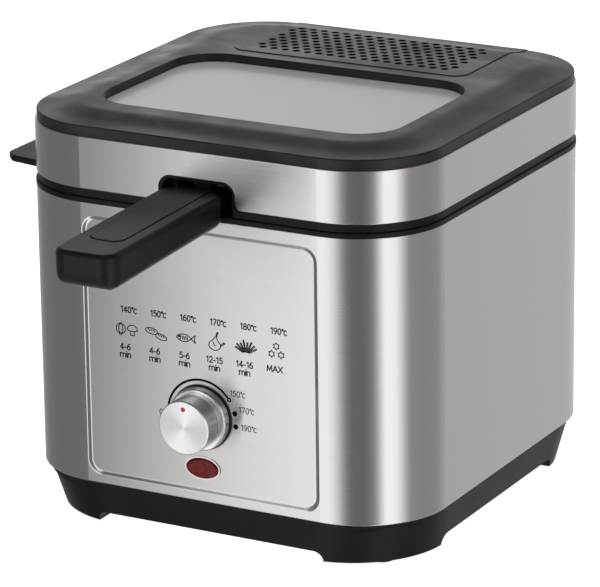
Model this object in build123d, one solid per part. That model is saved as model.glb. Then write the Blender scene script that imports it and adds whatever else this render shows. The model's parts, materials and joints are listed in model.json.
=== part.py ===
"""Compact square deep fryer with a lift-off lid, a wire basket and a thermostat knob.

Millimetres. +X is the right of the fryer seen from its front, -Y is its front and +Z is up.
The origin is the middle of the body's footprint, on the plane that the rubber feet stand on.
"""

from build123d import *
import os
from math import atan2, degrees

os.makedirs("parts", exist_ok=True)

# ---- driving dimensions of the body
WIDTH = 230.0
DEPTH = 238.0
CORNER = 47.0
FRONT = -DEPTH / 2
REAR = DEPTH / 2
SHEET = 0.8  # stainless sheet
ROLLED = 0.6  # radius of the sheet's rolled edges
SHEET_FLANGE = 6.0  # how far the housing's top and bottom edges turn inwards
OUT = 150.0  # a distance that is outside the fryer
LID_GAP = 0.3  # between the lid's trim and the body's rim

# ---- heights of the visible bands, from the feet up
LEG_LOW = 1.1
BASE_EDGE = 6.6
STEEL_LOW = 24.6
STEEL_TOP = 175.5
SPLIT = 178.1
LID_STEEL_LOW = 182.4
LID_STEEL_TOP = 209.8
LID_RIM_TOP = 215.3
PLATEAU = 218.6

# ---- base
BASE_TOP_INSET = 1.0
BASE_EDGE_INSET = 4.8
BASE_WALL = 3.0
BASE_CORNER = 50.5
BASE_FLOOR_WIDE = 6.0
LEG_START_X = 66.0  # the legs are the corners beyond these distances
LEG_START_Y = 65.0
LEG_FILLET = 5.0
FOOT_RADIUS = 6.0
FOOT_SOCKET = 1.6
FOOT_X, FOOT_Y = 89.2, 92.2
TONGUE_OUTER, TONGUE_INNER = 6.4, 8.4  # the base's tongue inside the housing
POST_X, POST_Y = 58.0, 62.0
POST_RADIUS = 4.5
STUD_X, STUD_Y = 34.8, 37.2
SCREW_CLEARANCE = 2.2
THREAD_HOLE = 2.05
COVER_LOW = 8.6
COVER_THICK = 2.0

# ---- pot and heater
POT_INSET = 20.0
POT_FLANGE_INSET = 9.0
POT_WALL = 1.2
POT_LOW = 84.0
POT_TAPER = 6.0
POT_TOP = SPLIT + POT_WALL
ELEMENT_RADIUS = 3.3
ELEMENT_LOOP = 62.0
ELEMENT_END_X, ELEMENT_END_Y = 14.0, 92.0
SHIELD_Z = 60.0
SHIELD_SIZE, SHIELD_CORNER = 172.0, 26.0
SHIELD_WALL, SHIELD_HEIGHT = 1.0, 9.0
CLAMP_Z, CLAMP_THICK, CLAMP_SIZE = 75.4, 1.6, 150.0
STUD_RADIUS, STUD_HOLE = 2.0, 2.8
BULB_RADIUS, BULB_HALF = 3.2, 30.0
CAPILLARY_RADIUS, CAPILLARY_X, CAPILLARY_Z = 0.9, 46.0, 71.2

# ---- control panel on the front
PANEL_HALF = 67.5
PANEL_LOW, PANEL_HIGH = 29.6, 168.6
PANEL_DEEP = 1.0
PANEL_SLOPE = 1.5
PANEL_CORNER = 7.8
PANEL_EDGE, PANEL_FOOT = 1.3, 1.6  # radii of the pocket's outer and inner bends
PANEL_FACE = FRONT + PANEL_DEEP
PANEL_BACK = PANEL_FACE + SHEET
KNOB_Z = 70.1
LAMP_Z = 42.6
SHAFT_RADIUS = 3.0
SHAFT_FIT = 0.05
BUSHING_RADIUS = 5.0
BUSHING_HOLE = 5.3
CASE_FRONT, CASE_REAR = -112.5, -94.5  # the thermostat's case
NUT_THICK = 1.6
DIAL_RADIUS, DIAL_THICK = 17.4, 0.5
LENS_HALF, LENS_HIGH, LENS_PROUD = 9.4, 5.4, 1.7
LAMP_HOLE_HALF, LAMP_HOLE_HIGH = 8.2, 4.2
BEZEL_WIDE, BEZEL_PROUD = 0.9, 0.6
NEON_RADIUS = 2.9
KNOB_FACE = FRONT - 18.0
KNOB_REAR = FRONT - 0.1
KNOB_STEP = FRONT - 5.0
KNOB_RADIUS = 14.3
KNOB_FLANGE = 16.5
KNOB_WALL = 1.4
POINTER_UP, POINTER_RADIUS = 9.8, 1.25
GLAND_X, GLAND_Z = 54.0, 45.0
GLAND_BORE = 3.6
GLAND_NECK, GLAND_COLLAR, GLAND_NUT = 6.0, 9.0, 8.5
LEAD_RADIUS = 1.3

# ---- lid
NOTCH_HALF = 22.0
NOTCH_TOP = 196.3
NOTCH_CORNER = 7.2
NOTCH_FLARE = 4.2
ARCH_DEPTH = 7.8
WINDOW_X, WINDOW_Y = 169.4, 112.5
WINDOW_CENTRE = -26.75
WINDOW_CORNER = 24.0
GLASS_TOP = 214.2
GLASS_THICK = 3.0
GASKET_LOW = 208.6
LINER_Z, LINER_THICK = 204.0, 1.0
BOSS_X, BOSS_Y = 96.0, 78.0
WINDOW_LEDGE = 4.5
COVER_HALF = 69.5
COVER_FRONT = 39.5
COVER_CORNER = 8.0
COVER_SEAT = 215.8
COVER_REAR_STEP = 106.5
COVER_GAP = 0.4
RIM_ROUND = 0.8
WINDOW_BEVEL = 0.6
TRAY_X, TRAY_Y = 132.0, 60.0
TRAY_CENTRE = 73.2
TRAY_CORNER = 8.0
PAD_THICK = 3.8
COVER_PROUD = 0.4
VENT_PITCH = 6.8
VENT_ROW = 5.55
VENT_RADIUS = 2.15
VENT_FIRST_Y = 49.7
VENT_SHIFT = -0.4
VENT_ROWS = 9
VENT_COUNT = 17
TAB_REACH = 139.0
TAB_THICK = 3.6

# ---- basket and handle
BASKET_TOP_X, BASKET_TOP_Y = 164.0, 170.0
BASKET_LOW, BASKET_HIGH = 97.0, 170.0
BASKET_TAPER = 6.0
BASKET_WALL = 1.6
BASKET_CORNER = 28.0
RIM_WIRE = 2.0
FOOT_WIRE = 1.5
BRACKET_FRONT = -BASKET_TOP_Y / 2 - 4.2
BRACKET_THICK = 1.6
GRIP_WIDTH = 35.2
GRIP_HEIGHT_ROOT, GRIP_HEIGHT_END = 17.4, 19.0
GRIP_ROOT = -120.2
GRIP_LENGTH = 110.5
GRIP_TOP = 191.2
GRIP_DROOP = 1.6  # degrees that the grip falls towards its end
ARM_X, ARM_Z = 8.0, 185.0
ARM_RADIUS = 2.5
ARM_END = -165.0
RIVET_X, RIVET_Z, RIVET_RADIUS = 11.0, 162.5, 1.5
INLAY_HALF, INLAY_DEEP, INLAY_LENGTH = 9.3, 2.2, GRIP_LENGTH - 22.0
INLAY_GAP, INLAY_PROUD = 0.45, 0.35
CATCH_HALF = 4.6  # the small block above the grip's neck
SCREW_PLACES = (-60.0, -25.0)  # from the grip's root
SCREW_SEAT = 178.6  # underside of the grip where the screw heads bear


# ---- helpers
def outline(inset, z, corner=None):
    """The body's rounded outline, shrunk by inset, as a face at height z."""
    radius = CORNER - inset if corner is None else corner
    return Pos(0, 0, z) * RectangleRounded(WIDTH - 2 * inset, DEPTH - 2 * inset, radius)


def prism(inset, low, high, corner=None):
    return extrude(outline(inset, low, corner), high - low)


def ring(outer, inner, low, high):
    return prism(outer, low, high) - prism(inner, low, high)


def slab(width, depth, corner, low, high, x=0.0, y=0.0):
    return extrude(Pos(x, y, low) * RectangleRounded(width, depth, corner), high - low)


def block(x, y, z):
    """A box from three (low, high) spans."""
    middle = [(low + high) / 2 for low, high in (x, y, z)]
    size = [high - low for low, high in (x, y, z)]
    return Pos(*middle) * Box(*size)


def rod_z(radius, x, y, low, high):
    return Pos(x, y, (low + high) / 2) * Cylinder(radius, high - low)


def rod_y(radius, x, z, low, high):
    return Pos(x, (low + high) / 2, z) * Rot(90, 0, 0) * Cylinder(radius, high - low)


def from_front(sketch, x, y, z, depth):
    """Extrudes a sketch drawn in X and Z from the plane at y towards the rear."""
    plane = Plane(origin=(x, y, z), x_dir=(1, 0, 0), z_dir=(0, -1, 0))
    return extrude(plane * sketch, -depth)


def wire_sweep(points, radius, bend):
    """A round wire along straight runs with rounded bends."""
    path = FilletPolyline(*points, radius=bend)
    return sweep(Plane(origin=path @ 0, z_dir=path % 0) * Circle(radius), path=path)


def pierced(shape, places, radius, low, high):
    """The shape with a vertical hole at each place."""
    for x, y in places:
        shape -= rod_z(radius, x, y, low, high)
    return shape


def corners(x, y):
    return [(sx * x, sy * y) for sx in (-1, 1) for sy in (-1, 1)]


def save(name, *pieces):
    shape = pieces[0] if len(pieces) == 1 else Compound(children=list(pieces))
    export_step(shape, f"parts/{name}.step")


# ---- housing
def panel_pocket(start, depth, grow):
    """The debossed panel as a solid with sloping sides, from y = start towards the rear."""
    height = PANEL_HIGH - PANEL_LOW
    middle = (PANEL_HIGH + PANEL_LOW) / 2
    faces = []
    for y, shrink in ((start, 0.0), (start + depth, PANEL_SLOPE)):
        plane = Plane(origin=(0, y, middle), x_dir=(1, 0, 0), z_dir=(0, -1, 0))
        size_x = 2 * (PANEL_HALF + grow - shrink)
        size_z = height + 2 * (grow - shrink)
        radius = PANEL_CORNER + grow - shrink
        faces.append(plane * RectangleRounded(size_x, size_z, radius))
    return extrude(faces[0], 0.5) + loft(faces)


def steel_band(low, high):
    """A solid of the body's outline whose top and bottom edges are rolled over."""
    band = prism(0, low, high)
    rolled = band.edges().group_by(Axis.Z)[0] + band.edges().group_by(Axis.Z)[-1]
    return fillet(rolled, ROLLED)


def soften_pocket(shape, y, radius):
    """Rounds the edge loop of the panel pocket that lies in the plane y."""
    loop = [
        edge for edge in shape.edges()
        if abs(edge.center().Y - y) < 0.01 and abs(edge.center().X) < PANEL_HALF + 0.1
        and PANEL_LOW - 0.1 < edge.center().Z < PANEL_HIGH + 0.1
    ]
    return fillet(loop, radius)


def housing_shell():
    """The whole steel wrap. It is made as three welded sheets, cut where the corners end."""
    outside = steel_band(STEEL_LOW, STEEL_TOP) - panel_pocket(FRONT, PANEL_DEEP, 0)
    outside = soften_pocket(outside, FRONT, PANEL_EDGE)
    outside = soften_pocket(outside, PANEL_FACE, PANEL_FOOT)
    inside = prism(SHEET, STEEL_LOW + SHEET, STEEL_TOP - SHEET)
    inside = inside - panel_pocket(FRONT + SHEET, PANEL_DEEP, SHEET)
    mouth = prism(SHEET_FLANGE, STEEL_LOW - 1, STEEL_TOP + 1)
    shell = outside - inside - mouth
    shell -= rod_y(BUSHING_HOLE, 0, KNOB_Z, FRONT - 2, FRONT + 4)
    shell -= from_front(Ellipse(LAMP_HOLE_HALF, LAMP_HOLE_HIGH), 0, FRONT - 2, LAMP_Z, 8)
    return shell - rod_y(GLAND_NECK + 0.1, GLAND_X, GLAND_Z, REAR - 4, REAR + 2)


def housing_part(x, y):
    return housing_shell() & block(x, y, (0, STEEL_TOP + 1))


def outer_housing():
    """The front of the wrap with both front corners."""
    return housing_part((-OUT, OUT), (-OUT, FRONT + CORNER))


def rear_housing():
    return housing_part((-OUT, OUT), (REAR - CORNER, OUT))


def side_housing():
    middle = (FRONT + CORNER, REAR - CORNER)
    return [housing_part((-OUT, 0), middle), housing_part((0, OUT), middle)]


def base_inset(z):
    slope = (BASE_EDGE_INSET - BASE_TOP_INSET) / (STEEL_LOW - BASE_EDGE)
    return BASE_TOP_INSET + slope * (STEEL_LOW - z)


def base_taper(low, high, extra=0.0):
    """The base's tapering outer form between two heights, shrunk by extra."""
    faces = []
    for z in (low, high):
        inset = base_inset(z) + extra
        faces.append(outline(inset, z, BASE_CORNER + 0.2 * inset - extra))
    return loft(faces)


def base_tub():
    wall = base_taper(BASE_EDGE, STEEL_LOW) - base_taper(BASE_EDGE - 1, STEEL_LOW + 1, BASE_WALL)
    legs = base_taper(LEG_LOW, COVER_LOW)
    for half, along_x in ((LEG_START_X, True), (LEG_START_Y, False)):
        height = BASE_EDGE - LEG_LOW
        gap = block((-half, half), (-OUT, OUT), (LEG_LOW - height, BASE_EDGE))
        gap = fillet(gap.edges().filter_by(Axis.Y).group_by(Axis.Z)[-1], LEG_FILLET)
        above = block((-half, half), (-OUT, OUT), (BASE_EDGE, COVER_LOW + 1))
        cut = gap + above
        legs -= cut if along_x else Rot(0, 0, 90) * cut
    floor_ring = base_taper(BASE_EDGE, COVER_LOW)
    floor_ring -= base_taper(BASE_EDGE - 1, COVER_LOW + 1, BASE_FLOOR_WIDE)
    step = STEEL_LOW - 4.6
    tongue = ring(TONGUE_OUTER, TONGUE_INNER, step, STEEL_LOW + 5.0)
    shoulder = ring(BASE_WALL + 0.5, TONGUE_INNER, step, step + 2.0)
    tub = wall + legs + floor_ring + tongue + shoulder
    return pierced(tub, corners(FOOT_X, FOOT_Y), FOOT_RADIUS, LEG_LOW - 1, LEG_LOW + FOOT_SOCKET)


def rubber_feet():
    radius = FOOT_RADIUS - 0.05
    return [rod_z(radius, x, y, 0, LEG_LOW + FOOT_SOCKET) for x, y in corners(FOOT_X, FOOT_Y)]


def base_cover():
    slot_wide, slot_long, slot_pitch = 4.0, 34.0, 10
    plate = slab(206, 214, 46, COVER_LOW, COVER_LOW + COVER_THICK)
    for x in range(-4 * slot_pitch, 5 * slot_pitch, slot_pitch):
        for y in (-30, 30):
            plate -= slab(slot_wide, slot_long, 1.9, COVER_LOW - 1, COVER_LOW + 4, x, y)
    return pierced(plate, corners(POST_X, POST_Y), SCREW_CLEARANCE, COVER_LOW - 1, COVER_LOW + 4)


def screw(x, y, head_low, tip, head_radius=3.6, shank=2.0):
    """A pan-head screw pointing up, with a cross recess."""
    head_high, recess_wide = 1.7, 0.8
    head = rod_z(head_radius, x, y, head_low, head_low + head_high)
    head = chamfer(head.edges().group_by(Axis.Z)[0], 0.5)
    for turn in (0, 90):
        slot = Rot(0, 0, turn) * Box(head_radius * 1.2, recess_wide, 2 * recess_wide)
        head -= Pos(x, y, head_low) * slot
    return head + rod_z(shank, x, y, head_low + head_high, tip)


def body_rim():
    skirt_low, skirt_thick = 160.0, 2.2
    ledge = ring(-0.3, POT_INSET - 0.4, STEEL_TOP, SPLIT)
    ledge = chamfer(ledge.faces().sort_by(Axis.Z)[-1].outer_wire().edges(), 0.4)
    return ledge + ring(TONGUE_OUTER, TONGUE_OUTER + skirt_thick, skirt_low, STEEL_TOP)


# ---- pot and heater
def pot_form(extra, low, high):
    """The pot's tapering form, shrunk by extra, with a rounded bottom edge."""
    top_inset, low_inset = POT_INSET + extra, POT_INSET + POT_TAPER + extra
    low_corner, top_corner, bottom_round = 26.0 - extra, 30.0 - extra, 12.0 - extra
    body = loft([outline(low_inset, low, low_corner), outline(top_inset, high, top_corner)])
    return fillet(body.edges().group_by(Axis.Z)[0], bottom_round)


def inner_pot():
    flange = ring(POT_FLANGE_INSET, POT_INSET + POT_WALL, SPLIT, POT_TOP)
    shell = pot_form(0, POT_LOW, POT_TOP) - pot_form(POT_WALL, POT_LOW + POT_WALL, POT_TOP + 0.01)
    return shell + (flange - pot_form(POT_WALL, POT_LOW + POT_WALL, POT_TOP + 0.01))


def heating_element():
    half, end_x, end_y = ELEMENT_LOOP, ELEMENT_END_X, ELEMENT_END_Y
    z = POT_LOW - ELEMENT_RADIUS - 0.1
    points = [(-end_x, end_y, z), (-end_x, half, z), (-half, half, z), (-half, -half, z)]
    points += [(-x, y, z) for x, y, z in reversed(points)]
    tube = wire_sweep(points, ELEMENT_RADIUS, 12.0)
    pins = [rod_y(1.2, x, z, end_y, end_y + 8.0) for x in (-end_x, end_x)]
    return tube + pins[0] + pins[1]


def element_clamp():
    top = CLAMP_Z + CLAMP_THICK
    plate = slab(CLAMP_SIZE, CLAMP_SIZE, 22.0, CLAMP_Z, top)
    plate -= rod_z(2 * CAPILLARY_RADIUS, CAPILLARY_X, 0, CLAMP_Z - 1, top + 1)
    return pierced(plate, corners(STUD_X, STUD_Y), STUD_HOLE, CLAMP_Z - 1, top + 1)


def heat_shield():
    inside = SHIELD_SIZE - 2 * SHIELD_WALL
    dish = slab(SHIELD_SIZE, SHIELD_SIZE, SHIELD_CORNER, SHIELD_Z, SHIELD_Z + SHIELD_HEIGHT)
    dish -= slab(inside, inside, SHIELD_CORNER - 1, SHIELD_Z + SHIELD_WALL, SHIELD_Z + 10.0)
    return pierced(dish, corners(STUD_X, STUD_Y), STUD_HOLE, SHIELD_Z - 1, SHIELD_Z + 2)


def sensor_bulb():
    """The thermostat's liquid bulb, held against the pot by the clamp plate."""
    z = CLAMP_Z + CLAMP_THICK + BULB_RADIUS + 0.2
    bulb = Pos(0, 0, z) * Rot(0, 90, 0) * Cylinder(BULB_RADIUS, 2 * BULB_HALF)
    return fillet(bulb.edges().group_by(Axis.X)[0], 1.5)


def capillary_tube():
    """The thin tube from the bulb down through the clamp plate and forward to the thermostat."""
    bulb_z = CLAMP_Z + CLAMP_THICK + BULB_RADIUS + 0.2
    x, z, end_x = CAPILLARY_X, CAPILLARY_Z, 8.0
    points = [(BULB_HALF, 0, bulb_z), (x, 0, bulb_z), (x, 0, z), (x, -76, z)]
    points += [(end_x, -84, z + 3), (end_x, CASE_REAR, z + 5)]
    return wire_sweep(points, CAPILLARY_RADIUS, 3.5)


def support_posts():
    """Four legs from the base cover up to the heat shield, stepping in to the pot's studs."""
    arm_z, arm_thick = 50.0, 4.0
    arm_low, arm_high = arm_z - arm_thick / 2, arm_z + arm_thick / 2
    posts = []
    for (x, y), (inner_x, inner_y) in zip(corners(POST_X, POST_Y), corners(STUD_X, STUD_Y)):
        post = rod_z(POST_RADIUS, x, y, COVER_LOW + COVER_THICK, arm_low)
        post -= rod_z(THREAD_HOLE, x, y, 0, 26)
        bridge = Pos((x + inner_x) / 2, (y + inner_y) / 2, arm_z)
        length = ((x - inner_x) ** 2 + (y - inner_y) ** 2) ** 0.5
        turn = degrees(atan2(y - inner_y, x - inner_x))
        arm = bridge * Rot(0, 0, turn) * Box(length + 8, 2 * POST_RADIUS, arm_thick)
        top = rod_z(POST_RADIUS, inner_x, inner_y, arm_high, SHIELD_Z)
        posts.append(post + arm + top - rod_z(THREAD_HOLE, inner_x, inner_y, 45, 70))
    return posts


def pot_studs():
    nut_high, nut_radius = 3.0, 4.0
    studs = []
    for x, y in corners(STUD_X, STUD_Y):
        stud = rod_z(STUD_RADIUS, x, y, 49.0, POT_LOW)
        nut = extrude(Pos(x, y, CLAMP_Z - nut_high) * RegularPolygon(nut_radius, 6), nut_high)
        studs.append(stud + nut)
    return studs


def thermal_fuse():
    radius = 3.0
    return rod_y(radius, -40, CLAMP_Z - radius - 0.2, -20, 4)


# ---- controls
def thermostat_body():
    case = block((-15, 15), (CASE_FRONT, CASE_REAR), (KNOB_Z - 13, KNOB_Z + 13))
    case = fillet(case.edges().filter_by(Axis.Y), 2.0)
    bushing = rod_y(BUSHING_RADIUS, 0, KNOB_Z, FRONT - 0.6, CASE_FRONT)
    tabs = [block((x, x + 3), (CASE_REAR, CASE_REAR + 4.5), (60, 64)) for x in (-6, 3)]
    bore = rod_y(SHAFT_RADIUS + SHAFT_FIT, 0, KNOB_Z, -OUT, -104)
    return case + bushing + tabs[0] + tabs[1] - bore


def thermostat_bracket():
    half, low, high, thick = 22, 52, 90, 1.5
    face = PANEL_BACK + 0.1
    plate = block((-half, half), (face, face + thick), (low, high))
    plate = fillet(plate.edges().filter_by(Axis.Y), 3.0)
    foot = block((-half, half), (face + thick, CASE_FRONT - 0.1), (low, low + thick))
    return plate + foot - rod_y(BUSHING_RADIUS + SHAFT_FIT, 0, KNOB_Z, -OUT, -104)


def shaft_nut():
    nut = from_front(RegularPolygon(7.4, 6), 0, PANEL_FACE - NUT_THICK, KNOB_Z, NUT_THICK)
    return nut - rod_y(BUSHING_RADIUS + SHAFT_FIT, 0, KNOB_Z, -OUT, -110)


def dial_ring():
    disc = rod_y(DIAL_RADIUS, 0, KNOB_Z, PANEL_FACE - DIAL_THICK, PANEL_FACE)
    return disc - rod_y(9.0, 0, KNOB_Z, PANEL_FACE - 1, PANEL_FACE + 1)


def knob_cap():
    """Turned aluminium: a flange, a groove and a straight cap, hollow from behind."""
    groove_rear, groove_wide, groove_deep = KNOB_STEP - 2.6, 0.6, 0.5
    flange = rod_y(KNOB_FLANGE, 0, KNOB_Z, KNOB_STEP, KNOB_REAR)
    flange = fillet(flange.edges().group_by(Axis.Y)[0], 1.2)
    cap = rod_y(KNOB_RADIUS, 0, KNOB_Z, KNOB_FACE, KNOB_REAR)
    cap = chamfer(cap.edges().group_by(Axis.Y)[0], 0.6)
    groove = rod_y(KNOB_RADIUS + 0.2, 0, KNOB_Z, groove_rear - groove_wide, groove_rear)
    groove -= rod_y(KNOB_RADIUS - groove_deep, 0, KNOB_Z, KNOB_STEP - 4, KNOB_STEP - 2)
    hollow = rod_y(KNOB_RADIUS - KNOB_WALL, 0, KNOB_Z, KNOB_FACE + 1.6, KNOB_REAR + 1)
    seat = rod_y(POINTER_RADIUS + 0.05, 0, KNOB_Z + POINTER_UP, KNOB_FACE - 1, KNOB_FACE + 0.5)
    return flange + cap - groove - hollow - seat


def knob_core():
    hub = rod_y(KNOB_RADIUS - KNOB_WALL, 0, KNOB_Z, KNOB_FACE + 1.6, KNOB_REAR - 3.2)
    return hub - rod_y(SHAFT_RADIUS, 0, KNOB_Z, KNOB_FACE + 4, KNOB_REAR)


def knob_pointer():
    return rod_y(POINTER_RADIUS, 0, KNOB_Z + POINTER_UP, KNOB_FACE - 0.1, KNOB_FACE + 0.5)


def thermostat_shaft():
    return rod_y(SHAFT_RADIUS, 0, KNOB_Z, KNOB_FACE + 4.0, -104.3)


def indicator_lens():
    dome = from_front(Ellipse(LENS_HALF, LENS_HIGH), 0, PANEL_FACE - LENS_PROUD, LAMP_Z, LENS_PROUD)
    dome = fillet(dome.edges().group_by(Axis.Y)[0], 1.3)
    neck_half, neck_high = LAMP_HOLE_HALF - 0.1, LAMP_HOLE_HIGH - 0.1
    neck = from_front(Ellipse(neck_half, neck_high), 0, PANEL_FACE, LAMP_Z, 5.0)
    return dome + neck


def lamp_bezel():
    inner_half, inner_high = LENS_HALF + 0.1, LENS_HIGH + 0.1
    outer = Ellipse(LENS_HALF + BEZEL_WIDE, LENS_HIGH + BEZEL_WIDE)
    bezel = from_front(outer, 0, PANEL_FACE - BEZEL_PROUD, LAMP_Z, BEZEL_PROUD)
    return bezel - from_front(Ellipse(inner_half, inner_high), 0, PANEL_FACE - 2, LAMP_Z, 5)


def lamp_holder():
    case = block((-12, 12), (PANEL_BACK + 0.1, -103), (LAMP_Z - 7, LAMP_Z + 7))
    case -= from_front(Ellipse(LAMP_HOLE_HALF, LAMP_HOLE_HIGH), 0, -125, LAMP_Z, 13)
    return case - rod_y(NEON_RADIUS + 0.2, 0, LAMP_Z, -113, -104)


def neon_lamp():
    return rod_y(NEON_RADIUS, 0, LAMP_Z, -112.5, -104.2)


def cord_gland():
    collar = rod_y(GLAND_COLLAR, GLAND_X, GLAND_Z, REAR, REAR + 2.5)
    collar = fillet(collar.edges().group_by(Axis.Y)[-1], 1.0)
    neck = rod_y(GLAND_NECK, GLAND_X, GLAND_Z, REAR - 6, REAR)
    nut = rod_y(GLAND_NUT, GLAND_X, GLAND_Z, REAR - 6, REAR - 1)
    return collar + neck + nut - rod_y(GLAND_BORE, GLAND_X, GLAND_Z, REAR - 8, REAR + 4)


def terminal_block():
    return block((48, 76), (78.2, 92), (32, 46)) - block((50, 74), (84, 88), (40, 50))


def internal_wiring():
    """Three insulated leads from the terminal block to the thermostat, the lamp and the element."""
    to_thermostat = [(66, 77, 38), (72, 40, 34), (74, -70, 33), (40, -96, 40), (18, -98, 44)]
    to_lamp = [(54, 77, 38), (48, 60, 32), (46, -40, 30), (30, -92, 34), (14, -100, 38)]
    to_element = [(54, 94, 41), (40, 98, 50), (24, 98, 62), (16, 98, 72)]
    return [wire_sweep(run, LEAD_RADIUS, 7.0) for run in (to_thermostat, to_lamp, to_element)]


# ---- lid
def top_form(low, lift=0.0):
    """The lid's black top: an upright rim, a concave band and a flat plateau."""
    rim = prism(1.0, low, LID_RIM_TOP + lift)
    rim = fillet(rim.edges().group_by(Axis.Z)[-1], RIM_ROUND)
    steps = [(1.0 + RIM_ROUND, 0.0), (7.0, 0.3), (13.0, 1.2), (19.0, 2.6), (25.0, PLATEAU - LID_RIM_TOP)]
    faces = [outline(inset, LID_RIM_TOP + lift + rise, CORNER - 0.9 * inset) for inset, rise in steps]
    return rim + loft(faces)


def window_slab(shrink, low, high):
    corner = WINDOW_CORNER - shrink
    width, depth = WINDOW_X - 2 * shrink, WINDOW_Y - 2 * shrink
    return slab(width, depth, corner, low, high, 0, WINDOW_CENTRE)


def cover_plan(grow, low, high):
    """The filter cover's outline with rounded front corners, running past the rear."""
    front, back = COVER_FRONT - grow, 140.0
    width, middle = 2 * (COVER_HALF + grow), (front + back) / 2
    return slab(width, back - front, COVER_CORNER + grow, low, high, 0, middle)


def rear_part(grow):
    return block((-OUT, OUT), (COVER_REAR_STEP - grow, OUT), (150, 240))


def lid_top_plate():
    wall, under_rim, under_plateau = 3.0, 212.2, 215.4
    low = LID_STEEL_TOP - 1
    hollow = prism(5.0, low, under_rim) + prism(22.0, low, under_plateau)
    keep = window_slab(-wall, low - 1, PLATEAU) + cover_plan(wall + 0.5, low - 1, PLATEAU)
    body = top_form(LID_STEEL_TOP) - (hollow - keep)
    body += window_slab(-wall, 206.0, LID_STEEL_TOP + 1)
    for x, y in corners(BOSS_X, BOSS_Y):
        body += rod_z(4.0, x, y, LINER_Z + LINER_THICK, under_plateau)
    body = pierced(body, corners(BOSS_X, BOSS_Y), 1.5, 200, 213)
    body -= window_slab(0, GASKET_LOW, 225) + window_slab(WINDOW_LEDGE, 200, 225)
    body -= chamfer(window_slab(-WINDOW_BEVEL, PLATEAU - WINDOW_BEVEL, 225).edges().group_by(Axis.Z)[0], 0.59)
    rear_seat = cover_plan(COVER_GAP, 211.8, 230) & rear_part(COVER_GAP)
    body -= cover_plan(COVER_GAP, COVER_SEAT, 230) + rear_seat
    return body - tray_slab(-COVER_GAP, 200, 230)


def filter_cover():
    form = top_form(LID_STEEL_TOP, COVER_PROUD) & cover_plan(0, LID_STEEL_TOP, 225)
    above_seat = block((-OUT, OUT), (0, OUT), (COVER_SEAT + 0.3, 230))
    rear_lip = rear_part(0) & block((-OUT, OUT), (0, OUT), (212.1, 230))
    cover = form & (above_seat + rear_lip)
    holes = []
    for row in range(VENT_ROWS):
        count = VENT_COUNT + row % 2
        y = VENT_FIRST_Y + row * VENT_ROW
        for column in range(count):
            x = (column - (count - 1) / 2) * VENT_PITCH + VENT_SHIFT
            holes.append(Pos(x, y, 216) * Cylinder(VENT_RADIUS, 12))
    return cover - holes


def tray_slab(shrink, low, high):
    width, depth = TRAY_X - 2 * shrink, TRAY_Y - 2 * shrink
    return slab(width, depth, TRAY_CORNER - shrink, low, high, 0, TRAY_CENTRE)


def filter_tray():
    floor_thick, slot_pitch, slot_wide = 1.4, 9, 4.5
    low = LINER_Z + LINER_THICK
    tray = tray_slab(0, low, 213.0) - tray_slab(1.5, low + floor_thick, 214)
    for x in range(-6 * slot_pitch, 7 * slot_pitch, slot_pitch):
        tray -= slab(slot_wide, TRAY_Y - 14, 2.2, 200, 212, x, TRAY_CENTRE)
    return tray


def filter_pad(low):
    return tray_slab(2.0, low, low + PAD_THICK)


def window_gasket():
    return window_slab(0.2, GASKET_LOW, GLASS_TOP - GLASS_THICK) - window_slab(WINDOW_LEDGE, 200, 220)


def notch_face(shrink, flare):
    """The arch in X and Z that the basket's handle passes through, as a sketch at the origin."""
    half, high = NOTCH_HALF - shrink, NOTCH_TOP - shrink
    low, wing = LID_STEEL_LOW, 12
    points = [(-half - wing, low - wing), (-half - wing, low), (-half, low), (-half, high)]
    points += [(-x, z) for x, z in reversed(points)]
    face = make_face(Polyline(*points, close=True))
    tops = [v for v in face.vertices() if v.Y > high - 1]
    face = fillet(tops, NOTCH_CORNER - shrink)
    bends = [v for v in face.vertices() if abs(v.Y - low) < 0.1 and abs(v.X) < half + 1]
    return fillet(bends, flare)


def notch_cut(shrink, flare, start, depth):
    return from_front(notch_face(shrink, flare), 0, start, 0, depth)


def lid_skirt():
    outside = steel_band(LID_STEEL_LOW, LID_STEEL_TOP)
    shell = outside - prism(SHEET, LID_STEEL_LOW + SHEET, LID_STEEL_TOP - SHEET)
    shell -= prism(4.0, LID_STEEL_LOW - 1, LID_STEEL_TOP + 1)
    return shell - notch_cut(0, NOTCH_FLARE, FRONT - 2, 12)


def lifting_tab(low):
    """The shallow wing on the lid's left that fingers lift it by."""
    points = [(-112, -84), (-133.5, -80), (-TAB_REACH, -74)]
    points += [(x, -y) for x, y in reversed(points)]
    face = make_face(Polyline(*points, close=True))
    face = fillet([v for v in face.vertices() if v.X < -120], 4.0)
    tab = extrude(Pos(0, 0, low) * face, TAB_THICK)
    rounded = tab.edges().filter_by(Plane.XY).filter_by(lambda e: e.center().X < -116)
    return fillet(rounded, 0.8) - prism(1.0, low - 1, low + 6)


def lid_trim():
    gap, arch_wall, hole_tall = 0.3, 1.8, 60.0
    low = SPLIT + LID_GAP
    band = ring(0.6, 8.0, low, LID_STEEL_LOW) + ring(4.2, 6.2, LID_STEEL_LOW, 192.0)
    passage = block((gap - NOTCH_HALF, NOTCH_HALF - gap), (-140, -95), (low - 1, NOTCH_TOP))
    arch = notch_cut(gap, NOTCH_FLARE, FRONT + 0.6, ARCH_DEPTH)
    arch = arch & block((-34, 34), (-130, -100), (low, 200))
    hole_face = RectangleRounded(2 * (NOTCH_HALF - arch_wall), hole_tall, NOTCH_CORNER - arch_wall)
    hole_middle = NOTCH_TOP - arch_wall - hole_tall / 2
    hole = from_front(hole_face, 0, FRONT - 10, hole_middle, 30)
    return band + lifting_tab(low) - passage + arch - hole


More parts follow.
